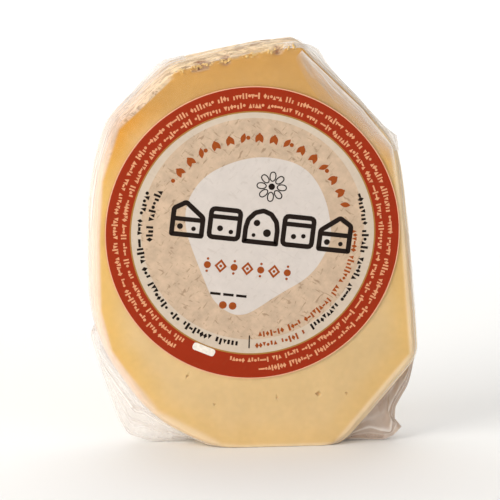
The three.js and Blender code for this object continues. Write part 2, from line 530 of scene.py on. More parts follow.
def ring_face(slab, face_y):
    """Adds rings inside one cut face: two close to the edge, then wider ones."""
    centre = in_frame(*FACE_MIDDLE, face_y)
    select_front(slab, face_y)
    for width in EDGE_RINGS:
        bpy.ops.mesh.inset(thickness=width * MM)
    for scale in INNER_RINGS:
        bpy.ops.mesh.inset(thickness=0)
        bpy.ops.transform.resize(value=(scale, 1, scale), center_override=centre)


def rim_swell(vertex, settings):
    """Swell of the rim: fullest at mid-depth, and at the upper left and lower right."""
    normal = vertex.normal
    depth = min(abs(vertex.co.y - MIDDLE_Y) / HALF_DEPTH, 1.0)
    sideways = 0.2 * normal.x
    diagonal = -0.7 * normal.x * normal.z
    right = smooth_step(0, 14 * MM, vertex.co.x - LABEL_CENTRE.x)
    drawn_in = settings.drawn_in / MM * right * smooth_step(80 * MM, 100 * MM, vertex.co.z)
    swell = settings.swell / MM + sideways + diagonal - drawn_in
    return swell * (1 - depth ** RIM_FULLNESS) * MM


def swell_rim(slab, settings, clearance=0.0):
    """Rounds the slab's edges and swells its rim, with a clearance added for film."""
    apply_modifier(
        slab, "BEVEL", width=settings.edge_rounding, segments=3, limit_method="ANGLE",
        angle_limit=math.radians(60),
    )
    largest = 5 * MM
    set_weights(slab, "swell", lambda vertex: (
        0.0 if abs(vertex.normal.y) > 0.8 else (rim_swell(vertex, settings) + clearance) / largest
    ))
    apply_modifier(slab, "DISPLACE", vertex_group="swell", strength=largest, mid_level=0.0)
    slab.vertex_groups.clear()


def rest_on_floor(piece, floor=0.0):
    """Flattens what would reach below the floor."""
    for vertex in piece.data.vertices:
        vertex.co.z = max(vertex.co.z, floor)


def subdivide_smooth(piece, levels):
    """Subdivides a piece, without the limit surface, which is slow on its wide poles."""
    apply_modifier(
        piece, "SUBSURF", levels=levels, render_levels=levels, use_limit_surface=False,
    )


def carve(piece, group, texture_kind, grain, depth, level, **texture_settings):
    """Presses a pattern into the weighted part, with its grain in millimetres."""
    texture = bpy.data.textures.new(f"{group} {texture_kind.lower()}", texture_kind)
    for name, value in texture_settings.items():
        setattr(texture, name, value)
    deselect_all()
    bpy.ops.object.empty_add(location=(0, 0, 0))
    ruler = bpy.context.object
    ruler.scale = [size * MM for size in grain]
    bpy.context.view_layer.update()
    apply_modifier(
        piece, "DISPLACE", texture=texture, vertex_group=group, texture_coords="OBJECT",
        texture_coords_object=ruler, strength=depth, mid_level=level,
    )
    bpy.data.objects.remove(ruler)


def edge_distance(x, z):
    """Distance from a point of the slice's plane to its outline, in metres."""
    point = Vector((x, 0, z))
    best = math.inf
    for index, corner in enumerate(FACE_CORNERS):
        start = in_frame(*FACE_CORNERS[index - 1][:2])
        side = in_frame(*corner[:2]) - start
        part = min(max((point - start).dot(side) / side.length_squared, 0), 1)
        best = min(best, (point - start - side * part).length)
    return best


def top_edge(vertex):
    """How far a vertex belongs to the crumbled upper front edge, from 0 to 1."""
    depth = vertex.co.y - CHEESE_FRONT
    height = smooth_step(106 * MM, 112 * MM, vertex.co.z)
    left = smooth_step(-31 * MM, -24 * MM, vertex.co.x)
    right = 1 - smooth_step(11 * MM, 15.5 * MM, vertex.co.x)
    weight = height * left * right * (1 - smooth_step(1.0 * MM, 3.5 * MM, depth))
    if not weight:
        return 0.0
    near = edge_distance(vertex.co.x, vertex.co.z)
    return weight * (1 - smooth_step(1.0 * MM, 2.2 * MM, near))


def nick_depth(vertex):
    """Depth of the nicks at a vertex, from 0 to 1."""
    at_edge = top_edge(vertex)
    if not at_edge:
        return 0.0
    x = (vertex.co.x - LABEL_CENTRE.x) / MM
    nicks = sum(
        depth * math.exp(-(((x - place) / width) ** 2)) for place, width, depth in EDGE_NICKS
    )
    return min(nicks * at_edge, 1.0)


def rind_share(vertex):
    """Nought on the paste and one on the rind, which wraps a little way round the edges, with a
    painted highlight along the face's rounded edge.
    """
    distance = edge_distance(vertex.co.x, vertex.co.z) / MM
    if distance > 5:
        return 0.0
    x, z = (vertex.co.x - LABEL_CENTRE.x) / MM, vertex.co.z / MM
    top = smooth_step(99, 104, z)
    upper_left = top * smooth_step(-23, -26, x)
    lower_left = smooth_step(-2, -14, x) * smooth_step(26, 14, z)
    depth = min(vertex.co.y - CHEESE_FRONT, CHEESE_BACK - vertex.co.y) / MM
    on_side = smooth_step(0.15, 0.85 - 0.45 * top, depth)
    # The band on the face's border is partly rind that wraps round and partly a painted highlight
    # on the rounded edge.
    width = 0.9 + 0.7 * lower_left + 0.15 * upper_left
    softness = 0.7 * (1 - 0.8 * upper_left)
    face_rim_and_highlight = 1 - smooth_step(width * (1 - softness), width * (1 + softness), distance)
    face_rim_and_highlight *= 1 - top * (1 - upper_left)
    return max(on_side * (1 - smooth_step(4, 5, distance)), face_rim_and_highlight)


def rind_weight(vertex):
    """Full on the rim's upper stretch, about half elsewhere, none on the cut faces."""
    depth = abs(vertex.co.y - MIDDLE_Y) / HALF_DEPTH
    rim = (1 - smooth_step(0.9, 1.0, depth)) * (1 - smooth_step(0.6, 0.9, abs(vertex.normal.y)))
    upper = 0.45 + 0.55 * smooth_step(0.3, 0.9, vertex.normal.z)
    resting = smooth_step(0.2 * MM, 3 * MM, vertex.co.z)
    return rim * upper * resting


def cut_eyes(cheese, front):
    """Cuts the small eyes into the front cut face."""
    eyes = []
    for x, z, radius in FACE_EYES:
        eye = add_mesh(
            "ico_sphere", subdivisions=3, radius=radius * MM, scale=(1.15, 0.9, 0.85),
            location=in_frame(x, z, front + 0.2 * radius * MM),
        )
        eyes.append(eye)
        place_in_mesh(eye)
    eyes = join_pieces(eyes, "eyes")
    apply_modifier(cheese, "BOOLEAN", object=eyes, operation="DIFFERENCE", solver="EXACT")
    bpy.data.objects.remove(eyes)


class PROVOLONE_OT_cheese(bpy.types.Operator):
    """Adds the slice of cheese with its rind"""

    bl_idname = "provolone.cheese"
    bl_label = "Cheese"

    def execute(self, context):
        settings = context.scene.provolone_slice
        cheese = raise_slab("cheese_slice", CHEESE_FRONT, CHEESE_BACK, settings.outline_step)
        swell_rim(cheese, settings)
        subdivide_smooth(cheese, 2)
        set_weights(cheese, "rind", rind_weight)
        set_weights(cheese, "edge", top_edge)
        set_weights(cheese, "nicks", nick_depth)
        carve(cheese, "rind", "CLOUDS", (26, 3.2, 26), settings.wrinkle, 0.75,
              noise_scale=0.6, noise_depth=1)
        carve(cheese, "rind", "CLOUDS", (9, 1.3, 9), 0.6 * settings.wrinkle, 0.7,
              noise_scale=0.6, noise_depth=2)
        carve(cheese, "edge", "CLOUDS", (2.2, 2.2, 2.2), 0.8 * MM, 0.6,
              noise_scale=0.7, noise_depth=2)
        apply_modifier(cheese, "DISPLACE", vertex_group="nicks", strength=-0.5 * MM, mid_level=0.0)
        cheese.vertex_groups.clear()
        rest_on_floor(cheese, settings.floor_gap)
        cut_eyes(cheese, CHEESE_FRONT)
        set_attribute(
            cheese, "edge_distance", lambda vertex: edge_distance(vertex.co.x, vertex.co.z) / MM,
        )
        set_attribute(cheese, "nick", nick_depth)
        set_attribute(cheese, "rind", rind_share)
        cheese.data.materials.append(make_cheese(settings))
        finish_slice(cheese)
        return {"FINISHED"}


def finish_slice(piece):
    shade_smooth(piece)
    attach(piece, "root")
    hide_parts("sealed_slice")


class PROVOLONE_OT_crumbs(bpy.types.Operator):
    """Adds the torn crumbs along the upper front edge"""

    bl_idname = "provolone.crumbs"
    bl_label = "Crumbs"

    def execute(self, context):
        settings = context.scene.provolone_slice
        rng = random.Random(5)
        model = add_mesh("ico_sphere", subdivisions=2, radius=MM, location=(0, 0, 0))
        edge = [in_frame(x, z) for x, z, rounding in FACE_CORNERS[:3]]
        crumbs = []
        for index in range(settings.crumbs):
            along = (index + rng.uniform(0.1, 0.9)) / settings.crumbs
            place = point_along(edge, along)
            thick = 0.75 + 0.9 * noise.noise(Vector((9 * along, 0, 0)))
            width = rng.uniform(0.3, 0.75) * thick
            height = rng.uniform(0.35, 0.8) * thick
            crumb = model.copy()
            crumb.data = model.data.copy()
            context.scene.collection.objects.link(crumb)
            crumb.data.transform(Matrix.Diagonal((width, 0.7 * thick, height, 1)))
            for vertex in crumb.data.vertices:
                vertex.co *= 1 + 0.8 * noise.noise(vertex.co / (0.4 * MM) + Vector((index, 0, 0)))
            place.y = CHEESE_FRONT + rng.uniform(0.45, 1.3) * MM
            place.z -= rng.uniform(-0.2, 0.7) * MM
            crumb.data.transform(Matrix.Translation(place))
            crumbs.append(crumb)
        bpy.data.objects.remove(model)
        crumbs = join_pieces(crumbs, "rind_crumbs")
        crumbs.data.materials.append(make_crumb(settings))
        finish_slice(crumbs)
        return {"FINISHED"}


def make_crumb(settings):
    """Torn curd at the rind's edge: moist and pale, waxy."""
    material, tree, shader = new_material("provolone crumbs, torn")
    # Tone from crumb to crumb, over about 2 mm.
    clouds = add_noise(tree, object_place(tree), 2, 3.0)
    tone = remap(tree, clouds, 0.3, 0.7, 0.85, 1.08)
    set_inputs(tree, shader, {
        "Base Color": shade_colour(tree, settings.crumb, tone), "Roughness": 0.45,
    })
    return material


def paste_colour(tree, place, settings):
    """Colour and grain of the paste: drier and yellower by the rind, with painted shade at the top
    and the right.
    """
    axes = add_node(tree, "ShaderNodeSeparateXYZ", inputs={0: place}).outputs
    # Broad clouds shift the tone by a little, over the fine grain of the curd.
    clouds = add_noise(tree, place, 12, 3.0)
    grain = add_noise(tree, place, 1.5, 4.0, 0.6)
    # The dry band is about 9 mm wide, with a wandering border.
    wander = compute(tree, "MULTIPLY_ADD", clouds, 5.0, read_attribute(tree, "edge_distance"))
    dry = remap(tree, wander, 3.5, 13.0, 1.0, 0.0, smooth=True)
    # It is strongest at the left and fades towards the foot and the right.
    upper = remap(tree, axes["Z"], 2 * MM, 30 * MM, 0.35, 1.0)
    left = remap(tree, axes["X"], -25 * MM, 30 * MM, 1.0, 0.75)
    dryness = compute(tree, "MULTIPLY", dry, compute(tree, "MULTIPLY", upper, left))
    high = remap(tree, axes["Z"], 78 * MM, 102 * MM)
    band = mix_colours(tree, high, settings.paste_low, settings.paste_high)
    base = mix_colours(tree, dryness, settings.paste, band)
    # The painted shade at the top reaches lower at the right.
    right = remap(tree, axes["X"], 0.0, 30 * MM, 0.0, 5 * MM, smooth=True)
    height = compute(tree, "ADD", axes["Z"], right)
    top_shade_share = remap(tree, height, 96 * MM, 110 * MM, 0.0, 0.9, smooth=True)
    with_top_shade = mix_colours(tree, top_shade_share, base, settings.painted_top_shade)
    cloudy = remap(tree, clouds, 0.3, 0.7, 0.95, 1.04)
    specked = remap(tree, grain, 0.3, 0.7, 0.97, 1.03)
    # The right side is painted a little darker, as painted shade.
    right_shade = remap(tree, axes["X"], 5 * MM, 45 * MM, 1.0, 0.91)
    value = compute(tree, "MULTIPLY", compute(tree, "MULTIPLY", cloudy, specked), right_shade)
    return shade_colour(tree, with_top_shade, value), grain


def rind_colour(tree, place, settings):
    """Colour and relief of the rind: fibres and furrows that run round the rim."""
    axes = add_node(tree, "ShaderNodeSeparateXYZ", inputs={0: place}).outputs
    fibres = add_noise(tree, place, (5, 0.8, 5), 5.0, 0.65, 1.4)
    furrows = add_noise(tree, place, (11, 2.4, 11), 3.0, 0.5, 1.0)
    # Patches about 15 mm across, where the rind is browner.
    patches = add_noise(tree, place, 15, 2.0)
    dark = remap(tree, fibres, 0.55, 0.4, 0.0, 0.9, smooth=True)
    deep = remap(tree, furrows, 0.5, 0.38, 0.0, 0.6, smooth=True)
    brown = remap(tree, patches, 0.35, 0.65, 0.4, 1.0)
    # The upper rind is older and browner than the sides.
    upper = remap(tree, axes["Z"], 82 * MM, 112 * MM, 0.12, 1.0, smooth=True)
    patchy = compute(tree, "MULTIPLY", compute(tree, "MAXIMUM", dark, deep), brown)
    amount = compute(tree, "MULTIPLY", patchy, upper)
    # The left side is painted paler, a painted highlight where the key light falls.
    left = remap(tree, axes["X"], -22 * MM, -40 * MM)
    light = mix_colours(tree, left, settings.rind_light, settings.rind_painted_highlight)
    return mix_colours(tree, amount, light, settings.rind_dark), fibres


def make_cheese(settings):
    """Semi-hard cheese, cut with a wire, dense and waxy, with a dried and pressed rind."""
    material, tree, shader = new_material("provolone, wire-cut paste and pressed rind")
    place = object_place(tree)
    rind = read_attribute(tree, "rind")
    paste, grain = paste_colour(tree, place, settings)
    crust, fibres = rind_colour(tree, place, settings)
    base = mix_colours(tree, rind, paste, crust)
    # The nicks show the browner curd under the rind.
    bared = compute(tree, "MULTIPLY", read_attribute(tree, "nick"), 0.75)
    height = add_node(tree, "ShaderNodeMix", {"data_type": "FLOAT"}, {
        0: rind, 2: grain, 3: fibres,
    }).outputs[0]
    relief = remap(tree, rind, 0.0, 1.0, 0.06 * MM, 0.25 * MM)
    set_inputs(tree, shader, {
        "Base Color": mix_colours(tree, bared, base, srgb("#8C4A22")),
        "Normal": add_bump(tree, height, 0.5, relief), "Roughness": 0.55, "IOR": 1.45,
        "Specular IOR Level": 0.3, "Subsurface Weight": 0.12,
        "Subsurface Radius": (1.0, 0.6, 0.3), "Subsurface Scale": 2.5 * MM,
    })
    return material


# Film


def make_film(name, tint, haze, glance, pleat_highlight):
    """Clear laminated film, vacuum-shrunk: glossy and whiter edge-on, with painted highlights
    where it is folded or pleated.
    """
    material, tree, shader = new_material(name)
    place = object_place(tree)
    fold = read_attribute(tree, "fold")
    crinkles = add_noise(tree, place, 1.2, 3.0)
    # Cloudy stretches, about 5 mm across, where the plies stick or part.
    clouds = add_noise(tree, place, 5, 3.0)
    cloudy = remap(tree, clouds, 0.3, 0.7, 0.7 * haze, 1.3 * haze)
    # Painted highlights on pleats that run round the rim, about 1.5 mm apart and 30 mm long.
    pleats = add_noise(tree, place, (30, 1.5, 30), 2.0, 0.5, 0.5)
    crests = remap(tree, pleats, 0.56, 0.66, 0.0, pleat_highlight, smooth=True)
    pleat_highlights = compute(tree, "MULTIPLY", crests, read_attribute(tree, "rim"))
    edge_on = add_node(tree, "ShaderNodeLayerWeight", inputs={"Blend": 0.3}).outputs["Facing"]
    glancing = compute(tree, "MULTIPLY_ADD", edge_on, glance, cloudy)
    alpha_with_highlights = compute(tree, "MULTIPLY_ADD", fold, 0.45, glancing)
    # The film whitens where it is folded.
    # Where the fold attribute is set, the film is painted whiter and more opaque as painted
    # highlights.
    set_inputs(tree, shader, {
        "Base Color": mix_colours(tree, fold, tint, srgb("#FFF9F3")),
        "Alpha": compute(tree, "ADD", alpha_with_highlights, pleat_highlights, clamp=True),
        "Normal": add_bump(tree, crinkles, 0.2, 0.15 * MM), "Roughness": 0.15, "IOR": 1.5,
        "Specular IOR Level": 0.9,
    })
    return material


def on_rim(vertex):
    """One on the rim, nought on the cut faces."""
    return 1 - smooth_step(0.9, 1.0, abs(vertex.co.y - MIDDLE_Y) / HALF_DEPTH)


class PROVOLONE_OT_film_skin(bpy.types.Operator):
    """Adds the film that hugs the slice"""

    bl_idname = "provolone.film_skin"
    bl_label = "Film skin"

    def execute(self, context):
        slice_settings = context.scene.provolone_slice
        settings = context.scene.provolone_film
        skin = raise_slab("film_skin", FILM_FRONT, FILM_BACK, slice_settings.outline_step)
        swell_rim(skin, slice_settings, settings.clearance)
        subdivide_smooth(skin, 1)
        set_weights(skin, "folds", rind_weight)
        carve(skin, "folds", "CLOUDS", (20, 2.6, 20), 0.5 * MM, 0.3,
              noise_scale=0.6, noise_depth=1)
        skin.vertex_groups.clear()
        rest_on_floor(skin)
        set_attribute(skin, "rim", on_rim)
        # On the left-facing rim the film is painted whiter: a painted highlight where the key
        # light falls.
        set_attribute(skin, "fold", lambda vertex: (
            0.6 * on_rim(vertex) * smooth_step(0.4, 1.0, -vertex.normal.x)
        ))
        film = make_film("vacuum film, drawn tight", settings.tint, 0.02, 0.14, 0.35)
        skin.data.materials.append(film)
        finish_slice(skin)
        return {"FINISHED"}


def flap_rows(flap):
    """Rows of points from root to edge, with a point added between each two either way."""
    lines = [[in_frame(x, z) for x, z in flap[line]] for line in ("root", "fold", "edge")]
    rows = []
    for line in lines:
        row = [line[0]]
        for start, end in zip(line, line[1:]):
            row += [(start + end) / 2, end]
        rows.append(row)
    between = [[(a + b) / 2 for a, b in zip(*pair)] for pair in zip(rows, rows[1:])]
    return [rows[0], between[0], rows[1], between[1], rows[2]]


def lay_ply(flap, side, waver, rng):
    """One ply of a flap, from its root under the rim to the sealed free edge."""
    rows = flap_rows(flap)
    last, last_row = len(rows[0]) - 1, len(rows) - 1
    root, fold, edge = flap["depths"]
    shares = (root, (root + fold) / 2, fold, (fold + edge) / 2, edge)
    rises = (0.0, rng.uniform(-1.0, -0.5), rng.uniform(0.8, 1.2), rng.uniform(-1.0, -0.5), 0.0)
    drift = rng.uniform(0, 100)
    ply = add_mesh("grid", x_subdivisions=last, y_subdivisions=last_row, size=1)
    set_attribute(ply, "across", lambda vertex: (vertex.co.x + 0.5) * last)
    set_attribute(ply, "out", lambda vertex: (vertex.co.y + 0.5) * last_row)
    for vertex in ply.data.vertices:
        column = round((vertex.co.x + 0.5) * last)
        row = round((vertex.co.y + 0.5) * last_row)
        free = min(1.0, 3 * math.sin(math.pi * column / last))
        sway = noise.noise(Vector((0.55 * column + drift, 0.9 * row, 0)))
        ridge = 0.9 if column / 2 in flap["ridges"] and row in (2, 3) else 0.0
        lift = (rises[row] + (1.1 * sway + ridge) * (0 < row < last_row)) * free
        lift += waver[column] * row / last_row
        place = rows[row][column]
        place.y = MIDDLE_Y - side * HALF_DEPTH * (1 - shares[row])
        place.y -= side * flap["folds"] * lift * MM
        place.y -= flap["lean"] * row / last_row * MM
        place.z = max(place.z, 0.3 * MM)
        vertex.co = place
    crease_folds(ply, flap)
    subdivide_smooth(ply, 3)
    set_fold_highlights(ply, flap, rng)
    return ply


def crease_folds(ply, flap):
    """Sharpens the folds along the flap and the ridges across it."""
    out = ply.data.attributes["out"].data
    across = ply.data.attributes["across"].data
    creases = []
    for edge in ply.data.edges:
        first, second = edge.vertices
        along = abs(out[first].value - out[second].value) < 0.01
        ridge = round(across[first].value) / 2 in flap["ridges"] and out[first].value > 1.5
        creases.append(0.8 if along or ridge else 0.0)
    ply.data.attributes.new("crease_edge", "FLOAT", "EDGE").data.foreach_set("value", creases)


def set_fold_highlights(ply, flap, rng):
    """Paints a highlight along the film's folds, and gives each facet between them a tone."""
    lines = (0.0, rng.uniform(0.2, 0.5), 0.65, rng.uniform(0.1, 0.4), 0.5)
    cuts = sorted(2 * column + rng.uniform(-0.4, 0.4) for column in flap["ridges"])
    tones = [[rng.uniform(0.0, 0.3) for part in range(len(cuts) + 1)] for row in range(4)]
    clearness = 0.3 + 0.7 * smooth_step(0.02, 0.15, flap["haze"])
    out = ply.data.attributes["out"].data
    across = ply.data.attributes["across"].data

    def tone_of(vertex):
        row = out[vertex.index].value
        near = min(max(round(row), 0), 4)
        line = lines[near] * math.exp(-(((row - near) / FOLD_HIGHLIGHT) ** 2))
        slant = across[vertex.index].value + 0.5 * (row - 3)
        facets = tones[min(max(int(row), 0), 3)]
        tone = facets[0]
        for index, place in enumerate(cuts):
            tone += (facets[index + 1] - tone) * smooth_step(place - 0.15, place + 0.15, slant)
        return (line + tone) * clearness

    set_attribute(ply, "fold", tone_of)


class PROVOLONE_OT_film_flaps(bpy.types.Operator):
    """Adds the flaps of film that stand out at four corners"""

    bl_idname = "provolone.film_flaps"
    bl_label = "Film flaps"

    def execute(self, context):
        settings = context.scene.provolone_film
        rng = random.Random(23)
        for corner, flap in FLAPS.items():
            waver = [rng.uniform(-0.8, 0.8) for column in range(2 * len(flap["edge"]) - 1)]
            plies = [lay_ply(flap, side, waver, rng) for side in (1, -1)]
            flap_piece = join_pieces(plies, f"film_flap_{corner}")
            apply_modifier(flap_piece, "SOLIDIFY", thickness=settings.thickness, offset=0.0)
            # The lower right flap takes the taupe shade tint, which is painted shade.
            tint = settings.painted_shade_tint if corner == "lower_right" else settings.tint
            film = make_film(f"vacuum film, folded, {corner}", tint, flap["haze"], 0.1, 0.0)
            flap_piece.data.materials.append(film)
            finish_slice(flap_piece)
        return {"FINISHED"}


class PROVOLONE_OT_film_creases(bpy.types.Operator):
    """Adds the creased film that overlaps the upper right edge of the cut face"""

    bl_idname = "provolone.film_creases"
    bl_label = "Film creases"

    def execute(self, context):
        settings = context.scene.provolone_film
        paths = (
            ((14.8, 121.8), (15.9, 117.5), (17.6, 113.6), 0.14),
            ((16.4, 120.4), (17.4, 117.0), (18.2, 114.4), 0.1),
            ((18.0, 114.2), (20.6, 112.6), (25.6, 108.8), 0.12),
        )
        creases = [self.lay_overlap()]
        for start, middle, end, width in paths:
            path = [in_frame(*point) for point in (start, middle, end)]
            creases.append(self.raise_crease(path, width))
        creases = join_pieces(creases, "film_creases")
        film = make_film("vacuum film, creased", settings.tint, 0.03, 0.1, 0.0)
        creases.data.materials.append(film)
        finish_slice(creases)
        return {"FINISHED"}

    def lay_overlap(self):
        """Strip of film along the edge, with fine wrinkles that fade inwards."""
        edge = [in_frame(x, z) for x, z in (
            (14.8, 122.4), (17.2, 120.1), (33.2, 104.6), (42.6, 93.0), (44.0, 84.0),
        )]
        inward = Vector((-0.66, 0, -0.75)) * MM
        strip = add_mesh("grid", x_subdivisions=90, y_subdivisions=56, size=1)
        wrinkles = {}
        for vertex in strip.data.vertices:
            along, into = vertex.co.x + 0.5, vertex.co.y + 0.5
            width = 7.5 * (0.35 + 0.65 * math.sin(math.pi * min(along * 1.15, 1.0)) ** 0.7)
            fan = noise.noise(Vector((5 * along, 0, 7)))
            streak = noise.noise(Vector((5 * along, 13 * into + 1.5 * fan, 3)))
            fine = noise.noise(Vector((7 * along, 34 * into + 2 * fan, 9)))
            crest = smooth_step(0.12, 0.45, streak) + 0.8 * smooth_step(0.15, 0.5, fine)
            fade = (1 - into) ** 1.3 * (1 - smooth_step(0.85, 1.0, along))
            # Wrinkle crests are painted whiter as painted highlights, and the film is whiter
            # towards the edge.
            wrinkles[vertex.index] = crest * fade * 0.45 + 0.85 * fade ** 2
            vertex.co = point_along(edge, along) + inward * width * into
            vertex.co.y = FILM_FRONT - (0.02 + 0.1 * crest * fade) * MM
        set_attribute(strip, "fold", lambda vertex: wrinkles[vertex.index])
        apply_modifier(strip, "SOLIDIFY", thickness=0.02 * MM, offset=0.0)
        return strip

    def raise_crease(self, path, width):
        """Low ridge of film along a bowed path, tapered to both ends."""
        crease = add_mesh(
            "cylinder", vertices=8, radius=1, depth=1, end_fill_type="TRIFAN",
            location=(0, 0, 0),
        )
        bpy.ops.object.mode_set(mode="EDIT")
        select_elements(
            crease, "edges",
            lambda edge: abs(edge.verts[0].co.z - edge.verts[1].co.z) > 0.5,
        )
        bpy.ops.mesh.subdivide(number_cuts=11)
        bpy.ops.object.mode_set(mode="OBJECT")
        for vertex in crease.data.vertices:
            along = vertex.co.z + 0.5
            middle = path[0].lerp(path[1], along).lerp(path[1].lerp(path[2], along), along)
            side = (path[2] - path[0]).normalized().cross(Vector((0, 1, 0)))
            reach = width * MM * (0.15 + 0.85 * math.sin(math.pi * along))
            vertex.co = middle + side * vertex.co.x * reach + Vector((
                0, FILM_FRONT + 0.5 * vertex.co.y * reach, 0,
            ))
        return crease


# Label


def make_paper(name, colour, mottle, fleck):
    """Coated label paper, offset-printed: satin, with the sheet's fibres and flecks."""
    material, tree, shader = new_material(name)
    place = object_place(tree)
    # Cloudy formation of the sheet, about 3 mm across.
    formation = add_noise(tree, place, 3, 5.0, 0.65)
    tone = remap(tree, formation, 0.3, 0.7, 1 - mottle, 1 + mottle)
    # Brown fibres up to about 1 mm wide and 3 mm long, in two layers that cross.
    layers = []
    for turn, shift in ((0.6, 0.0), (-0.9, 0.3)):
        laid = add_node(tree, "ShaderNodeMapping", {"vector_type": "TEXTURE"}, {
            "Vector": place, "Rotation": (0.0, turn, 0.0), "Location": (shift, shift, shift),
            "Scale": (3.2 * MM, 3.2 * MM, 0.9 * MM),
        })
        fibres = add_node(tree, "ShaderNodeTexNoise", inputs={
            "Vector": laid.outputs["Vector"], "Scale": 1.0, "Detail": 2.0, "Roughness": 0.5,
            "Distortion": 0.6,
        })
        layers.append(remap(tree, fibres.outputs["Fac"], 0.40, 0.28, 0.0, fleck, smooth=True))
    flecks = compute(tree, "MAXIMUM", *layers)
    toned = shade_colour(tree, colour, tone)
    set_inputs(tree, shader, {
        "Base Color": mix_colours(tree, flecks, toned, srgb("#7F5F40")),
        "Normal": add_bump(tree, formation, 0.15, 0.03 * MM), "Roughness": 0.6,
        "Specular IOR Level": 0.12,
    })
    return material


def make_ink(name, colour):
    """Offset ink on the paper: a thin satin film with a mottle about 0.8 mm across."""
    material, tree, shader = new_material(name)
    mottle = add_noise(tree, object_place(tree), 0.8, 3.0)
    tone = remap(tree, mottle, 0.3, 0.7, 0.9, 1.1)
    set_inputs(tree, shader, {
        "Base Color": shade_colour(tree, colour, tone), "Roughness": 0.6,
        "Specular IOR Level": 0.1,
    })
    return material


def finish_print(piece):
    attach(piece, "root")
    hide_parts("label")


class PROVOLONE_OT_label(bpy.types.Operator):
    """Adds the round paper label with its printed fields"""

    bl_idname = "provolone.label"
    bl_label = "Label"

    def execute(self, context):
        settings = context.scene.provolone_label
        radius = (LABEL_HIGH.x - LABEL_LOW.x) / 2
        paper = add_mesh(
            "cylinder", vertices=160, radius=radius, depth=PAPER_THICKNESS,
            location=(LABEL_CENTRE.x, LABEL_HIGH.y - PAPER_THICKNESS / 2, LABEL_CENTRE.z),
            rotation=(math.radians(90), 0, 0),
        )
        name_piece(paper, "label_paper")
        place_in_mesh(paper)
        bpy.ops.object.mode_set(mode="EDIT")
        select_front(paper, PAPER_FRONT)
        for width in (CUT_EDGE_AND_HIGHLIGHT, settings.ring_width, LINE_WIDTH, BAND_WIDTH):
            bpy.ops.mesh.inset(thickness=width)
        bpy.ops.transform.translate(value=(0, 0, FIELD_RISE))
        bpy.ops.object.mode_set(mode="OBJECT")
        fields = (
            # The peach rim at the paper's edge is partly its pale cut edge and partly a painted
            # highlight.
            ("label paper, cut edge", srgb("#E9B08E"), 0.03, 0.0),
            ("label border, printed", settings.ring, 0.04, 0.05),
            ("label line, printed", settings.gold, 0.08, 0.05),
            ("label band, printed", settings.band, 0.05, 0.08),
            ("label field, printed", settings.kraft, 0.14, 0.5),
        )
        for name, colour, mottle, fleck in fields:
            paper.data.materials.append(make_paper(name, colour, mottle, fleck))
        inner = radius - CUT_EDGE_AND_HIGHLIGHT - settings.ring_width
        limits = (radius - CUT_EDGE_AND_HIGHLIGHT, inner, inner - LINE_WIDTH)
        for face in paper.data.polygons:
            if abs(face.center.y - PAPER_FRONT) > 1e-6:
                continue
            reach = math.hypot(
                face.center.x - LABEL_CENTRE.x, face.center.z - LABEL_CENTRE.z,
            )
            is_field = len(face.vertices) > 4
            face.material_index = 4 if is_field else sum(reach < limit for limit in limits)
        finish_print(paper)
        return {"FINISHED"}


# Print


def oblong(half, low, high):
    """Upright rectangle from its half width and its two heights."""
    return (-half, low), (half, low), (half, high), (-half, high)


def draw_mark(points, stroke=None, rounding=None):
    """Thin mark of ink round the origin, filled or outlined, from points in millimetres."""
    mark = add_mesh(
        "circle", vertices=len(points), radius=MM, fill_type="NGON",
        rotation=(math.radians(90), 0, 0),
    )
    place_in_mesh(mark)
    bpy.ops.object.mode_set(mode="EDIT")
    mesh = bmesh.from_edit_mesh(mark.data)
    for vertex, (x, z) in zip(mesh.verts, points):
        vertex.co = (x * MM, 0, z * MM)
    bmesh.update_edit_mesh(mark.data)
    bpy.ops.mesh.select_all(action="SELECT")
    if rounding:
        bpy.ops.mesh.bevel(offset=rounding * MM, segments=3, affect="VERTICES")
        bpy.ops.mesh.select_all(action="SELECT")
    if stroke:
        bpy.ops.mesh.inset(thickness=stroke * MM)
        bpy.ops.mesh.delete(type="FACE")
        bpy.ops.mesh.select_all(action="SELECT")
    bpy.ops.mesh.extrude_region_move(TRANSFORM_OT_translate={"value": (0, -INK_THICKNESS, 0)})
    turn_outwards()
    bpy.ops.object.mode_set(mode="OBJECT")
    return mark


def stamp(mark, x, z, turn=0.0, size=(1, 1), layer=0, tilt=PRINT_TILT):
    """Copy of a mark on the label, in the print's own upright frame."""
    copy = mark.copy()
    copy.data = mark.data.copy()
    bpy.context.scene.collection.objects.link(copy)
    place = (
        Matrix.Translation((LABEL_CENTRE.x, PAPER_FRONT + 0.005 * MM - layer * INK_THICKNESS,
                            LABEL_CENTRE.z))
        @ Matrix.Rotation(tilt, 4, "Y")
        @ Matrix.Translation((x * MM, 0, z * MM))
        @ Matrix.Rotation(-turn, 4, "Y")
        @ Matrix.Diagonal((size[0], 1, size[1], 1))
    )
    copy.data.transform(place)
    if size[0] < 0:
        copy.data.flip_normals()
    return copy


def around(radius, degrees):
    """Point on a circle round the label's centre, and the turn that stands a mark on it."""
    angle = math.radians(degrees)
    return radius * math.cos(angle), radius * math.sin(angle), angle - math.pi / 2


def circle_points(radius, count):
    step = 360 / count
    return [around(radius, index * step)[:2] for index in range(count)]


def stamp_row(marks, radius, start, end, pitch, rng):
    """Row of small marks on an arc, parted into groups like words."""
    stamps = []
    degrees = start
    left = rng.randint(3, 9)
    while degrees < end:
        x, z, turn = around(radius, degrees)
        if left:
            size = rng.uniform(0.9, 1.1)
            stamps.append(stamp(rng.choice(marks), x, z, turn, (size, size)))
        left = left - 1 if left else rng.randint(3, 9)
        degrees += math.degrees(pitch / radius)
    return stamps


def finish_ink(stamps, marks, name, ink):
    """Joins the stamps of one ink to one piece and drops their models."""
    piece = join_pieces(stamps, name)
    piece.data.materials.append(ink)
    for mark in marks:
        bpy.data.objects.remove(mark)
    finish_print(piece)


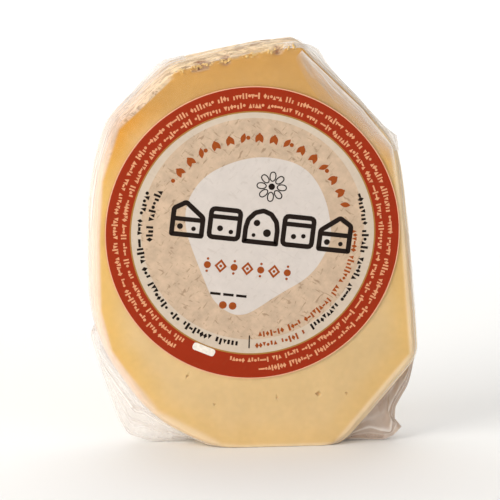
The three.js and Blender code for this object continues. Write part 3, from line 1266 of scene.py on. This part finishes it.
def small_marks(height, weight=0.14):
    """Marks that fine rows are made of: bars, diamonds, dots, wedges and dashes."""
    half = weight * height
    rise = 0.5 * height
    return [
        draw_mark(oblong(half, -rise, rise)),
        draw_mark(oblong(half, -rise, 0.3 * rise)),
        draw_mark(((0, -0.9 * rise), (0.62 * rise, 0), (0, 0.9 * rise), (-0.62 * rise, 0))),
        draw_mark(((-0.6 * rise, -rise), (0.6 * rise, -rise), (0, 0.5 * rise))),
        draw_mark(((-0.6 * rise, 0.5 * rise), (0, -rise), (0.6 * rise, 0.5 * rise))),
        draw_mark(oblong(0.55 * rise, -half, half)),
        draw_mark(circle_points(0.24 * height, 10)),
    ]


def leaf_points(width, length):
    """Pointed leaf that stands on the origin."""
    flank = [
        (0.5 * width * math.sin(math.pi * step / 7), length * step / 7) for step in range(1, 7)
    ]
    return [(0, 0)] + flank + [(0, length)] + [(-x, z) for x, z in reversed(flank)]


# Outline of the pale patch, in millimetres from the label's centre: a pebble that
# narrows towards its foot.
PATCH = (
    (4.3, 23.8), (15.9, 20.7), (22.0, 11.7), (24.2, 0.6), (23.2, -4.9), (17.8, -13.5),
    (8.0, -18.8), (0.0, -24.0), (-3.0, -25.1), (-6.6, -24.9), (-12.1, -20.9), (-14.9, -14.1),
    (-18.2, -5.5), (-20.7, 1.9), (-20.4, 9.9), (-15.2, 17.9), (-5.4, 22.5),
)

# Middles of the sign of cheeses and of the daisy, in the print's own frame.
SIGN_X, SIGN_Z = 2.4, 2.2
DAISY = (3.9, 14.9)

# Simple cheeses for the dark sign, in millimetres round the middle of each: a wedge, a
# drum and half a wheel, as outlines, and the strokes inside them.
WEDGE = ((-5.3, -5.4), (5.3, -5.4), (5.3, 1.4), (-1.0, 6.2), (-5.3, 3.6))
WEDGE_BAR = oblong(4.6, -0.6, 0.8)
DRUM = oblong(5.2, -5.2, 5.0)
DRUM_BAR = oblong(4.5, 1.2, 2.6)
HALF_WHEEL = (
    (-5.6, -5.4), (5.6, -5.4), (5.6, -0.4), (5.0, 2.4), (2.9, 4.9), (0.0, 5.9), (-2.9, 4.9),
    (-5.0, 2.4), (-5.6, -0.4),
)


def smooth_outline(points, rounds=3):
    """Closed outline with its corners cut again and again."""
    for round_index in range(rounds):
        points = [
            (a[0] + (b[0] - a[0]) * part, a[1] + (b[1] - a[1]) * part)
            for a, b in zip(points, points[1:] + points[:1]) for part in (0.25, 0.75)
        ]
    return points


class PROVOLONE_OT_print(bpy.types.Operator):
    """Adds the label's plain print: a patch, a sign of cheeses, leaves and fine rows"""

    bl_idname = "provolone.print"
    bl_label = "Print"

    def execute(self, context):
        settings = context.scene.provolone_label
        rng = random.Random(11)
        patch = draw_mark(smooth_outline(list(PATCH)))
        paper = make_paper("label patch, printed", settings.centre, 0.04, 0.1)
        finish_ink([stamp(patch, 0, 0, tilt=0)], [patch], "label_patch", paper)
        dark = make_ink("dark ink, offset-printed", settings.dark_ink)
        rust = make_ink("rust ink, offset-printed", settings.rust_ink)
        peach = make_ink("peach ink, offset-printed", settings.peach_ink)
        pale = make_ink("pale ink, offset-printed", srgb("#EFE6DA"))
        self.print_dark(dark, rng)
        self.print_rust(rust, rng)
        self.print_border(peach, pale, rng)
        return {"FINISHED"}

    def print_dark(self, ink, rng):
        """Row of simple cheeses, a daisy over it, and fine rows on the pale band."""
        wedge, drum, dome = (
            draw_mark(points, 1.5, rounding)
            for points, rounding in ((WEDGE, 0.9), (DRUM, 1.8), (HALF_WHEEL, 0.6))
        )
        bars = [draw_mark(points) for points in (WEDGE_BAR, DRUM_BAR)]
        hole = draw_mark(circle_points(1.0, 20))
        stamps = []
        for x, outline, facing in (
            (-22.6, wedge, 1), (-11.3, drum, 1), (0, dome, 1), (11.3, drum, 1), (22.6, wedge, -1),
        ):
            stamps.append(stamp(outline, SIGN_X + x, SIGN_Z, size=(facing, 1), layer=1))
        for bar, reach in zip(bars, (22.6, 11.3)):
            stamps += [stamp(bar, SIGN_X + x, SIGN_Z, layer=2) for x in (-reach, reach)]
        spots = ((-24.8, -2.2, 0.9), (-20.6, -2.6, 0.7), (-12.6, -1.6, 0.9), (-9.2, -2.4, 0.7),
                 (-1.6, 1.2, 1.0), (1.8, -1.6, 1.2), (-2.2, -2.6, 0.6),
                 (10.0, -1.8, 0.8), (13.0, -1.4, 0.7), (20.4, -2.4, 0.9), (24.6, -2.6, 0.7))
        stamps += [
            stamp(hole, SIGN_X + x, SIGN_Z + z, size=(size, size), layer=1)
            for x, z, size in spots
        ]
        petal = draw_mark(smooth_outline(
            [(0, 1.5), (1.25, 2.6), (1.2, 4.9), (0, 5.6), (-1.2, 4.9), (-1.25, 2.6)], 2), 0.4)
        stamps += [
            stamp(petal, *DAISY, math.radians(45 * index), (0.86, 0.86), 1 + index % 2)
            for index in range(8)
        ]
        stamps.append(stamp(hole, *DAISY, layer=1))
        dash = draw_mark(oblong(1.6, -0.4, 0.4))
        stamps += [stamp(dash, x, -19.5, layer=1) for x in (-9.2, -5.2, -1.2)]
        fine = small_marks(2.1, 0.17)
        for radius, start, end in ((34.6, 165, 269), (31.5, 162, 191), (34.4, -51, 29)):
            stamps += stamp_row(fine, radius, start, end, 1.25, rng)
        divider = draw_mark(oblong(0.2, -2, 2))
        x, z, turn = around(33.5, -85)
        stamps.append(stamp(divider, x, z, turn))
        models = [wedge, drum, dome, hole, petal, dash, divider] + bars + fine
        finish_ink(stamps, models, "label_dark_print", ink)

    def print_rust(self, ink, rng):
        """Garland of leaves over the top, a strip of lozenges, and fine rows."""
        leaf = draw_mark(leaf_points(1.6, 3.3))
        dot = draw_mark(circle_points(0.5, 12))
        stamps = []
        for index in range(30):
            x, z, turn = around(27.9, 25 + index * 4.4)
            if index % 6 == 5:
                x, z, turn = around(29.4, 25 + index * 4.4)
                stamps.append(stamp(dot, x, z, size=(1.3, 1.3)))
            else:
                lean = 0.45 if index % 2 else -0.45
                stamps.append(stamp(leaf, x, z, turn + lean, layer=index % 2))
        lozenge = draw_mark(((0, -2.1), (1.9, 0), (0, 2.1), (-1.9, 0)), 0.62)
        for index in range(-3, 4):
            x = -0.4 + index * 4.1
            if index % 2:
                for z, size in ((-10.9, 2.2), (-9.0, 0.8), (-12.8, 0.8)):
                    stamps.append(stamp(dot, x, z, size=(size, size), layer=1))
            else:
                stamps.append(stamp(lozenge, x, -10.9, layer=1))
                stamps.append(stamp(dot, x, -10.9, size=(0.9, 0.9), layer=1))
        stamps += [stamp(dot, x, -22.8, size=(2.4, 2.4), layer=1) for x in (-6.5, -3.5)]
        fine = small_marks(1.9, 0.15)
        for radius, start, end in ((31.3, -79, 9), (34.7, -81, -55)):
            stamps += stamp_row(fine, radius, start, end, 1.15, rng)
        finish_ink(stamps, [leaf, dot, lozenge] + fine, "label_rust_print", ink)

    def print_border(self, peach, pale, rng):
        """Fine rows on the border, and its small pale window."""
        fine = small_marks(1.75)
        stamps = []
        for radius, start, end in ((42.1, -80, 242), (39.3, -93, 244)):
            stamps += stamp_row(fine, radius, start, end, 0.95, rng)
        finish_ink(stamps, fine, "label_border_print", peach)
        window = draw_mark(oblong(3.6, -1.15, 1.15), None, 0.8)
        x, z, turn = around(38.6, -106)
        finish_ink([stamp(window, x, z, turn, layer=1)], [window], "label_window", pale)


# Stage


def aim_at(thing, target):
    thing.rotation_euler = (target - thing.location).to_track_quat("-Z", "Y").to_euler()


def add_area_light(name, location, target, width, height, power, colour):
    light = bpy.data.lights.new(name, "AREA")
    light.shape = "RECTANGLE"
    light.size = width
    light.size_y = height
    light.energy = power
    light.color = srgb(colour)[:3]
    lamp = bpy.data.objects.new(name, light)
    bpy.context.scene.collection.objects.link(lamp)
    lamp.location = location
    aim_at(lamp, target)


class PROVOLONE_OT_stage(bpy.types.Operator):
    """Adds the floor, the lights and the camera"""

    bl_idname = "provolone.stage"
    bl_label = "Stage"

    def execute(self, context):
        settings = context.scene.provolone_stage
        floor = add_mesh("plane", size=4, location=(0, 0.6, 0))
        name_piece(floor, "floor")
        bpy.ops.object.mode_set(mode="EDIT")
        select_elements(
            floor, "edges", lambda edge: all(vertex.co.y > 1.5 for vertex in edge.verts),
        )
        bpy.ops.mesh.extrude_region_move(TRANSFORM_OT_translate={"value": (0, 0, 2.5)})
        select_elements(
            floor, "edges",
            lambda edge: all(vertex.co.y > 1.5 and vertex.co.z < 0.1 for vertex in edge.verts),
        )
        bpy.ops.mesh.bevel(offset=0.8, segments=16, affect="EDGES")
        bpy.ops.object.mode_set(mode="OBJECT")
        place_in_mesh(floor)
        shade_smooth(floor)
        material, tree, shader = new_material("studio paper, matt")
        set_inputs(tree, shader, {"Base Color": settings.floor, "Roughness": 0.9})
        floor.data.materials.append(material)
        add_lights(context)
        add_camera(context, settings)
        return {"FINISHED"}


def add_lights(context):
    target = Vector((0, 0, 0.06))
    add_area_light("key", Vector((-0.8, -0.5, 0.4)), target, 0.6, 0.8, 8.5, "#FFFDF9")
    add_area_light("fill", Vector((0.9, -1.1, 0.6)), target, 0.9, 0.9, 2.5, "#FFFFFF")
    add_area_light("top", Vector((0.0, 0.5, 1.3)), target, 1.4, 1.4, 6, "#FFFFFF")
    add_area_light(
        "backdrop wash", Vector((0.0, 0.9, 1.6)), Vector((0.0, 2.2, 0.5)), 2.5, 1.0, 30, "#FFFFFF",
    )
    world = bpy.data.worlds.new("studio")
    world.use_nodes = True
    background = world.node_tree.nodes["Background"]
    background.inputs["Color"].default_value = srgb("#FFFFFF")
    background.inputs["Strength"].default_value = 0.4
    context.scene.world = world
    context.scene.view_settings.view_transform = "Standard"


def add_camera(context, settings):
    """Camera at a distance, so that the label's centre falls left of and above the middle."""
    camera = bpy.data.cameras.new("camera")
    camera.lens = settings.lens
    camera.sensor_width = 36
    eye = bpy.data.objects.new("camera", camera)
    context.scene.collection.objects.link(eye)
    target = in_frame(-0.87, 61.7, SLICE_LOW.y)
    azimuth, elevation = settings.azimuth, settings.elevation
    back = Vector((
        math.sin(azimuth) * math.cos(elevation),
        -math.cos(azimuth) * math.cos(elevation),
        math.sin(elevation),
    ))
    eye.location = target + back * settings.distance
    aim_at(eye, target)
    context.scene.camera = eye


class PROVOLONE_PT_sidebar(bpy.types.Panel):
    """Lists the pieces and the stage"""

    bl_idname = "PROVOLONE_PT_sidebar"
    bl_label = "Provolone"
    bl_space_type = "VIEW_3D"
    bl_region_type = "UI"
    bl_category = "Provolone"

    def draw(self, context):
        for operator in OPERATORS:
            self.layout.operator(operator.bl_idname)
        for name in SETTINGS:
            group = getattr(context.scene, name)
            for key in group.__annotations__:
                self.layout.prop(group, key)


OPERATORS = (
    PROVOLONE_OT_cheese,
    PROVOLONE_OT_crumbs,
    PROVOLONE_OT_film_skin,
    PROVOLONE_OT_film_flaps,
    PROVOLONE_OT_film_creases,
    PROVOLONE_OT_label,
    PROVOLONE_OT_print,
    PROVOLONE_OT_stage,
)

SETTINGS = {
    "provolone_slice": SliceSettings,
    "provolone_film": FilmSettings,
    "provolone_label": LabelSettings,
    "provolone_stage": StageSettings,
}


def register():
    for kind in (*SETTINGS.values(), *OPERATORS, PROVOLONE_PT_sidebar):
        bpy.utils.register_class(kind)
    for name, kind in SETTINGS.items():
        setattr(bpy.types.Scene, name, PointerProperty(type=kind))


def unregister():
    for name in SETTINGS:
        delattr(bpy.types.Scene, name)
    for kind in reversed((*SETTINGS.values(), *OPERATORS, PROVOLONE_PT_sidebar)):
        bpy.utils.unregister_class(kind)


def main():
    register()
    bpy.ops.provolone.cheese()
    bpy.ops.provolone.crumbs()
    bpy.ops.provolone.film_skin()
    bpy.ops.provolone.film_flaps()
    bpy.ops.provolone.film_creases()
    bpy.ops.provolone.label()
    bpy.ops.provolone.print()
    bpy.ops.provolone.stage()


if __name__ == "__main__":
    main()
